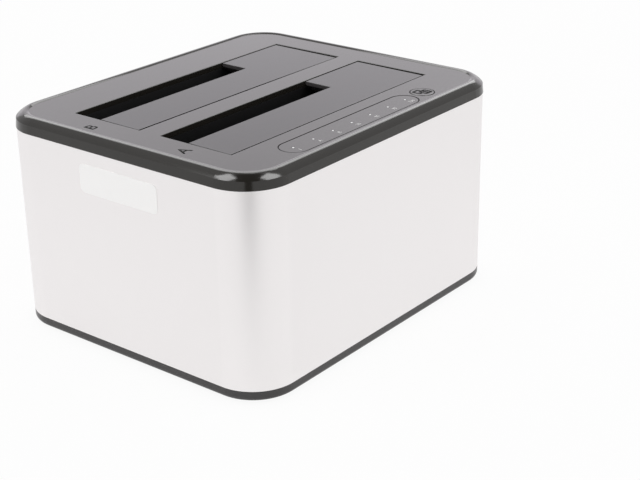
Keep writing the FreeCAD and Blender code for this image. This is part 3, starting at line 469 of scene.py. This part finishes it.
def letters(words, height, bolder=0.0):
    """The flat faces of printed characters, centred on the origin, in millimetres."""
    curve = bpy.data.curves.new("words", "FONT")
    curve.body = words
    curve.size = 1.0
    curve.align_x = "CENTER"
    curve.align_y = "CENTER"
    curve.resolution_u = 4
    curve.offset = bolder
    holder = bpy.data.objects.new("words", curve)
    bpy.context.collection.objects.link(holder)
    bpy.context.view_layer.update()
    flat = bpy.data.meshes.new_from_object(holder)
    bpy.data.objects.remove(holder)
    left = min(v.co.x for v in flat.vertices)
    right = max(v.co.x for v in flat.vertices)
    low = min(v.co.y for v in flat.vertices)
    high = max(v.co.y for v in flat.vertices)
    size = height / (high - low)
    weld = 1e-5
    work = bmesh.new()
    work.from_mesh(flat)
    bmesh.ops.remove_doubles(work, verts=work.verts, dist=weld)
    bmesh.ops.translate(work, verts=work.verts, vec=(-(left + right) / 2, -(low + high) / 2, 0))
    bmesh.ops.scale(work, verts=work.verts, vec=(size, size, 1.0))
    return work


def rounded(corners, radius, closed):
    """The corners of a path, each turned into a short curve."""
    steps = 4
    path = []
    count = len(corners)
    for number, corner in enumerate(corners):
        corner = Vector(corner)
        if not closed and number in (0, count - 1):
            path.append(corner)
            continue
        before = corner + (Vector(corners[number - 1]) - corner).normalized() * radius
        after = corner + (Vector(corners[(number + 1) % count]) - corner).normalized() * radius
        for step in range(steps + 1):
            share = step / steps
            path.append(before * (1 - share) ** 2
                        + corner * 2 * share * (1 - share)
                        + after * share ** 2)
    return path


def stroke(work, path, width, closed):
    """Adds a flat line of even width along a path, in millimetres."""
    least_share = 0.5
    count = len(path)
    rows = []
    for number, here in enumerate(path):
        ways = []
        if closed or number < count - 1:
            ways.append((path[(number + 1) % count] - here).normalized())
        if closed or number > 0:
            ways.append((here - path[number - 1]).normalized())
        way = sum(ways, Vector((0.0, 0.0))).normalized()
        spread = width / 2 / max(way.dot(ways[0]), least_share)
        side = Vector((-way.y, way.x)) * spread
        rows.append([work.verts.new((*(here + side), 0.0)), work.verts.new((*(here - side), 0.0))])
    for number in range(count if closed else count - 1):
        first, second = rows[number], rows[(number + 1) % count]
        work.faces.new((first[0], first[1], second[1], second[0]))


def layer(name, work, thickness, settle):
    """A thin printed layer made of flat faces; settle gives each corner its place in millimetres."""
    pushed(work, work.faces[:], Matrix.Translation((0, 0, thickness)))
    bmesh.ops.recalc_face_normals(work, faces=work.faces)
    for vertex in work.verts:
        vertex.co = Vector(settle(*vertex.co)) * MM
    return mesh_of(name, work)


def lying_at(x, y, z):
    """The place of a layer that lies on the top, upright from the front."""
    return lambda u, v, w: (x + u, y + v, z + w)


# Printed marks on the plate: the bay letters, the marks under the lamps and the button's icon.
print_thickness = 0.02
bay_letters = {"A": (-57.7, -20.6), "B": (-58.8, 18.9)}
bay_letter_height = 4.3
bay_letter_bolder = 0.01
lamp_mark_height = 1.3
lamp_mark_y = strip_middle.y - 2.7

for letter, (x, y) in bay_letters.items():
    flat = letters(letter, bay_letter_height, bay_letter_bolder)
    mesh = layer("bay_letter_" + letter, flat, print_thickness, lying_at(x, y, plate_top))
    piece(mesh, print_dark, "case")
for number, words in enumerate(lamp_marks):
    settle = lying_at(lamp_first_x + number * lamp_pitch, lamp_mark_y, strip_high.z)
    mesh = layer("lamp_mark_" + str(number + 1), letters(words, lamp_mark_height), print_thickness, settle)
    piece(mesh, print_grey, "case")

# The button's icon: a square in front, with a bar in it, and what shows of a square behind.
icon_corner = 0.45
near_square = [(-0.7, -2.3), (2.3, -2.3), (2.3, 0.7), (-0.7, 0.7)]
near_square_line = 0.9
near_bar = [Vector((0.8, -1.9)), Vector((0.8, -0.8)), Vector((0.8, 0.3))]
near_bar_line = 1.1
far_square = [(0.7, 1.35), (0.7, 2.3), (-2.3, 2.3), (-2.3, -0.7), (-1.35, -0.7)]
far_square_line = 0.85
icon = bmesh.new()
stroke(icon, rounded(near_square, icon_corner, closed=True), near_square_line, closed=True)
stroke(icon, near_bar, near_bar_line, closed=False)
stroke(icon, rounded(far_square, icon_corner, closed=False), far_square_line, closed=False)
mesh = layer("button_icon", icon, print_thickness, lying_at(button_x, strip_middle.y, button_top))
piece(mesh, print_dark, "clone_button")

# Generic on and off marks on the rocker, which follow the curve of its face.
rocker_valley = 2.5
rocker_tip_rise = 0.935
rocker_half = 5.3
rocker_swing = math.radians(16.0)
rocker_turn = -rocker_swing / 2
rocker_pivot = (24.0, 51.6, 16.4)
rocker_mark_from_valley = 3.2
rocker_mark_line = 0.32
rocker_mark_thickness = 0.03
bar_half_height = 1.1
bar_half_middle = 0.35
ring_half_width = 0.95
ring_half_height = 1.05
ring_sides = 28


def on_rocker(middle):
    """The place of a layer on the rocker's face, seen from behind, middle to the side of its valley."""
    def settle(u, v, w):
        x = middle - u
        y = rocker_valley + rocker_tip_rise * (x / rocker_half) ** 2 + w
        return (
            rocker_pivot[0] + x * math.cos(rocker_turn) - y * math.sin(rocker_turn),
            rocker_pivot[1] + x * math.sin(rocker_turn) + y * math.cos(rocker_turn),
            rocker_pivot[2] + v,
        )
    return settle


def rocker_mark(name, path, closed, middle):
    """A white line along a path, printed on the rocker's face."""
    work = bmesh.new()
    stroke(work, [Vector(corner) for corner in path], rocker_mark_line, closed)
    mesh = layer(name, work, rocker_mark_thickness, on_rocker(middle))
    piece(mesh, print_white, "power_rocker")


bar_heights = (-bar_half_height, -bar_half_middle, bar_half_middle, bar_half_height)
bar = [(0.0, height) for height in bar_heights]
rocker_mark("rocker_mark_on", bar, closed=False, middle=-rocker_mark_from_valley)
ring_turns = [math.tau * side / ring_sides for side in range(ring_sides)]
ring = [(ring_half_width * math.cos(turn), ring_half_height * math.sin(turn)) for turn in ring_turns]
rocker_mark("rocker_mark_off", ring, closed=True, middle=rocker_mark_from_valley)


def wire(name, path, radius):
    """A round wire: a round face extruded along a path, with a low dome on both ends."""
    sides = 10
    dome = radius * 0.4
    stands = []
    across = (path[1] - path[0]).orthogonal()
    for number, here in enumerate(path):
        way = (path[min(number + 1, len(path) - 1)] - path[max(number - 1, 0)]).normalized()
        across = (across - way * across.dot(way)).normalized()
        turned = Matrix((across.cross(way), across, way)).transposed()
        stands.append(Matrix.Translation(here * MM) @ turned.to_4x4())
    work = bmesh.new()
    bmesh.ops.create_circle(work, cap_ends=True, segments=sides, radius=radius * MM, matrix=stands[0])
    work.faces.ensure_lookup_table()
    start = end = work.faces[0]
    for last, following in zip(stands, stands[1:]):
        end = pushed(work, [end, *end.edges], following @ last.inverted())[0]
    bmesh.ops.recalc_face_normals(work, faces=work.faces)
    bmesh.ops.poke(work, faces=[start, end], offset=dome * MM)
    for face in work.faces:
        face.smooth = True
    return mesh_of(name, work)


# Each flap's spring: the coil and its still leg stay with the case, the other leg goes with the flap.
spring_radius = 0.225
coil_radius = 1.175
coil_pitch = 0.6
leg_length = 6.775
quarter = math.pi / 2
steps_in_quarter = 8
first_quarter = -1
last_quarter = 25

for bay in "ab":
    hinge = box_of("flap_pin_" + bay)[2]
    start_x = box_of("flap_spring_" + bay)[0].x + spring_radius
    coil_path = []
    for step in range(first_quarter * steps_in_quarter, last_quarter * steps_in_quarter + 1):
        turn = step * quarter / steps_in_quarter
        coil_path.append(Vector((
            start_x + coil_pitch * turn / math.tau,
            hinge.y - coil_radius * math.sin(turn),
            hinge.z + coil_radius * math.cos(turn),
        )))
    coil_end = coil_path[-1]
    coil_path += [coil_end + Vector((0, 0, -leg_length * share)) for share in (0.5, 1.0)]
    leg_root = Vector((start_x, hinge.y, hinge.z + coil_radius))
    leg_path = [leg_root + Vector((0, leg_length * share, 0)) for share in (0.0, 0.33, 0.66, 1.0)]
    for kind, path, body in (("coil", coil_path, "case"), ("leg", leg_path, "flap_" + bay)):
        mesh = wire("spring_" + kind + "_" + bay, path, spring_radius)
        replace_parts(piece(mesh, hinge_steel, body), "flap_spring_" + bay)


def contacts(name, places, width, profile):
    """Contact leaves of even width, one for each place; the profile runs round a leaf, in Y and Z."""
    work = bmesh.new()
    for x, y, z in places:
        side = [work.verts.new(Vector((x - width / 2, y + off, z + up)) * MM) for off, up in profile]
        pushed(work, [work.faces.new(side)], Matrix.Translation((width * MM, 0, 0)))
    bmesh.ops.recalc_face_normals(work, faces=work.faces)
    piece(mesh_of(name, work), contact_brass, "case")


# Contact leaves in the drive sockets' two slots, 15 for power and 7 for data.
power_slot_length = 22.0
data_slot_length = 11.6
slot_space = 3.0
contact_pitch = 1.27
contact_width = 0.6
contact_wall_y = 1.18
contact_below_top = 2.4
leaf = [(0.0, -5.6), (-0.42, -4.2), (-0.55, -3.0), (-0.42, -1.8), (-0.1, -0.7),
        (0.0, -0.7), (-0.3, -1.9), (-0.41, -3.0), (-0.3, -4.1), (0.06, -5.6)]

for bay in "ab":
    low, high, middle = box_of("drive_socket_" + bay)
    slot_x = middle.x - (power_slot_length + slot_space + data_slot_length) / 2
    places = []
    for slot_length, count in ((power_slot_length, 15), (data_slot_length, 7)):
        first_x = slot_x + (slot_length - (count - 1) * contact_pitch) / 2
        for number in range(count):
            x = first_x + number * contact_pitch
            places.append((x, middle.y + contact_wall_y, high.z - contact_below_top))
        slot_x += slot_length + slot_space
    contacts("socket_contacts_" + bay, places, contact_width, leaf)

# Contacts on the two tongues of the data port: two over and two under the lower one, five under the upper.
lower_tongue_height = 3.2
upper_tongue_height = 0.9
wide_contact_x = 1.25
wide_contact_width = 1.0
small_contact_pitch = 0.85
small_contact_width = 0.4
top_contact = [(-6.5, -0.03), (-6.5, 0.05), (-0.9, 0.05), (-0.6, 0.03), (-0.5, -0.03)]
under_contact = [(off, -up) for off, up in top_contact]
tongue_low, tongue_high, tongue_middle = box_of("usb_tongue")
tip_y = tongue_high.y
wide_x = [tongue_middle.x + side * wide_contact_x for side in (-1, 1)]
small_x = [tongue_middle.x + number * small_contact_pitch for number in range(-2, 3)]
contacts("usb_contacts_top", [(x, tip_y, tongue_low.z + lower_tongue_height) for x in wide_x],
         wide_contact_width, top_contact)
contacts("usb_contacts_under", [(x, tip_y, tongue_low.z) for x in wide_x], wide_contact_width, under_contact)
contacts("usb_contacts_small", [(x, tip_y, tongue_high.z - upper_tongue_height) for x in small_x],
         small_contact_width, under_contact)


def stage_piece(name, work, material):
    """A piece of the studio, which isn't part of the dock."""
    mesh = mesh_of(name, work)
    mesh.materials.append(material)
    made = bpy.data.objects.new(name, mesh)
    bpy.context.collection.objects.link(made)
    return made


def pale_floor(name):
    """A floor that is white with soft shadows; in the dock's gloss it carries a painted pool of light,
    brightest at the dock's near corner.
    """
    seen_share = 0.93
    mirrored_share = 0.64
    painted_pool_share = 0.15
    near_corner = (-0.062, -0.052)
    fall_off = 11.0
    material = bpy.data.materials.new(name)
    material.use_nodes = True
    tree = material.node_tree
    tree.nodes.clear()
    flow = Flow(tree)
    where = place(flow)
    plain = flow.node("ShaderNodeBsdfDiffuse", None, {"Color": grey(0.9)})
    lit = flow.node("ShaderNodeEmission", None, {"Color": grey(1.0), "Strength": 1.0})
    seen = flow.node("ShaderNodeLightPath", None, None, out="Is Camera Ray")
    mirrored = flow.node("ShaderNodeLightPath", None, None, out="Is Glossy Ray")
    x, y = split(flow, where)[:2]
    off_x, off_y = x - near_corner[0], y - near_corner[1]
    # Painted light: a pool of brighter floor round the dock's near corner, seen only in its gloss.
    near = (1.0 - (off_x * off_x + off_y * off_y) * fall_off).limited()
    share = seen * seen_share + mirrored * (mirrored_share + near * painted_pool_share)
    shown = flow.node("ShaderNodeMixShader", None, {0: share, 1: plain, 2: lit})
    ends = tree.nodes.new("ShaderNodeOutputMaterial")
    tree.links.new(shown.socket, ends.inputs["Surface"])
    return material


floor_half = 6.0
floor_work = bmesh.new()
bmesh.ops.create_grid(floor_work, x_segments=1, y_segments=1, size=floor_half)
stage_piece("floor", floor_work, pale_floor("floor_white"))


def card_black(name):
    """Matt black card."""
    material, shader, flow = new_finish(name, {"Specular IOR Level": 0.0, "Roughness": 1.0})
    feed(flow, shader, Base_Color=blend(flow, noise(flow, place(flow), 30.0), grey(0.004), grey(0.006)))
    return material


mat_black = card_black("mat_black")


def dark_card(name, width, height, turns, azimuth):
    """A dark card that only mirrors in the dock; turns set it up before it swings round to azimuth."""
    work = bmesh.new()
    bmesh.ops.create_grid(work, x_segments=1, y_segments=1, size=0.5)
    bmesh.ops.scale(work, verts=work.verts, vec=(width, height, 1.0))
    for turn in turns + [Matrix.Rotation(azimuth, 4, "Z")]:
        bmesh.ops.transform(work, verts=work.verts, matrix=turn)
    made = stage_piece(name, work, mat_black)
    made.visible_camera = False
    made.visible_diffuse = False
    made.visible_shadow = False
    made.visible_transmission = False


# The camera's dark surroundings: the floor under its stand, and the hood over it.
mat_place = Vector((0.0, -0.467, 0.0008))
mat_swing = math.radians(2.0)
hood_height = Vector((0.0, 0.0, 0.55))
hood_tilt = math.radians(28.0)
hood_lift = Vector((0.0, 0.0, 0.07))
dark_card("dark_mat", width=0.12, height=0.44,
          turns=[Matrix.Translation(mat_place)], azimuth=camera_azimuth + mat_swing)
dark_card("dark_hood", width=0.34, height=0.62,
          turns=[Matrix.Translation(hood_height),
                 Matrix.Rotation(hood_tilt, 4, "X"),
                 Matrix.Translation(hood_lift)],
          azimuth=camera_azimuth)

# The world: an even pale room, which the camera sees as white.
room_level = 0.72
world = bpy.data.worlds.new("studio")
world.use_nodes = True
bpy.context.scene.world = world
world.node_tree.nodes.clear()
flow = Flow(world.node_tree)
room = flow.node("ShaderNodeBackground", None, {"Color": grey(1.0), "Strength": room_level})
white = flow.node("ShaderNodeBackground", None, {"Color": grey(1.0), "Strength": 1.0})
seen = flow.node("ShaderNodeLightPath", None, None, out="Is Camera Ray")
shown = flow.node("ShaderNodeMixShader", None, {0: seen, 1: room, 2: white})
world_end = world.node_tree.nodes.new("ShaderNodeOutputWorld")
world.node_tree.links.new(shown.socket, world_end.inputs["Surface"])


def lamp(name, middle, turn, size, level, everywhere, shade=(1.0, 1.0, 1.0)):
    """A soft light that the camera doesn't see, and that lights gloss alone unless it is everywhere."""
    width, height = size
    data = bpy.data.lights.new(name, "AREA")
    data.shape = "RECTANGLE"
    data.size = width
    data.size_y = height
    data.energy = level * math.pi * width * height
    data.color = shade
    made = bpy.data.objects.new(name, data)
    bpy.context.collection.objects.link(made)
    made.location = middle
    made.rotation_mode = "QUATERNION"
    made.rotation_quaternion = turn
    made.visible_camera = False
    made.visible_diffuse = everywhere


def panel(name, azimuth, elevation, distance, size, level, everywhere=True, shade=(1.0, 1.0, 1.0)):
    """A light panel that stands round the dock and faces its middle."""
    dock_middle = Vector((0.0, 0.0, 0.04))
    turn, lift = math.radians(azimuth), math.radians(elevation)
    way = Vector((math.sin(turn) * math.cos(lift), -math.cos(turn) * math.cos(lift), math.sin(lift)))
    lamp(name, way * distance + dock_middle, way.to_track_quat("Z", "Y"), size, level, everywhere, shade)


# Lights: a panel behind the dock, and to the left and right a softbox with a brighter window for the gloss.
panel("back_panel", azimuth=128.0, elevation=14.5, distance=1.2, size=(1.9, 0.54), level=0.71,
      shade=(0.975, 0.905, 1.0))
side_azimuths = {"left": -128.0, "right": 26.0}
for side, azimuth in side_azimuths.items():
    panel(side + "_softbox", azimuth, elevation=58.0, distance=0.9, size=(0.40, 0.42), level=1.6)
for side, azimuth in side_azimuths.items():
    panel(side + "_window", azimuth, elevation=61.5, distance=0.92, size=(0.36, 0.38), level=5.6,
          everywhere=False)

# These two hang level over the dock, and draw the bright line along the two near edges of the top.
line_z = 0.176
line_level = 3.1
facing_down = Quaternion((1.0, 0.0, 0.0, 0.0))
lamp("left_line", Vector((0.021, 0.0985, line_z)), facing_down, (0.118, 0.273), line_level, everywhere=False)
lamp("front_line", Vector((0.1825, 0.019, line_z)), facing_down, (0.205, 0.114), line_level, everywhere=False)
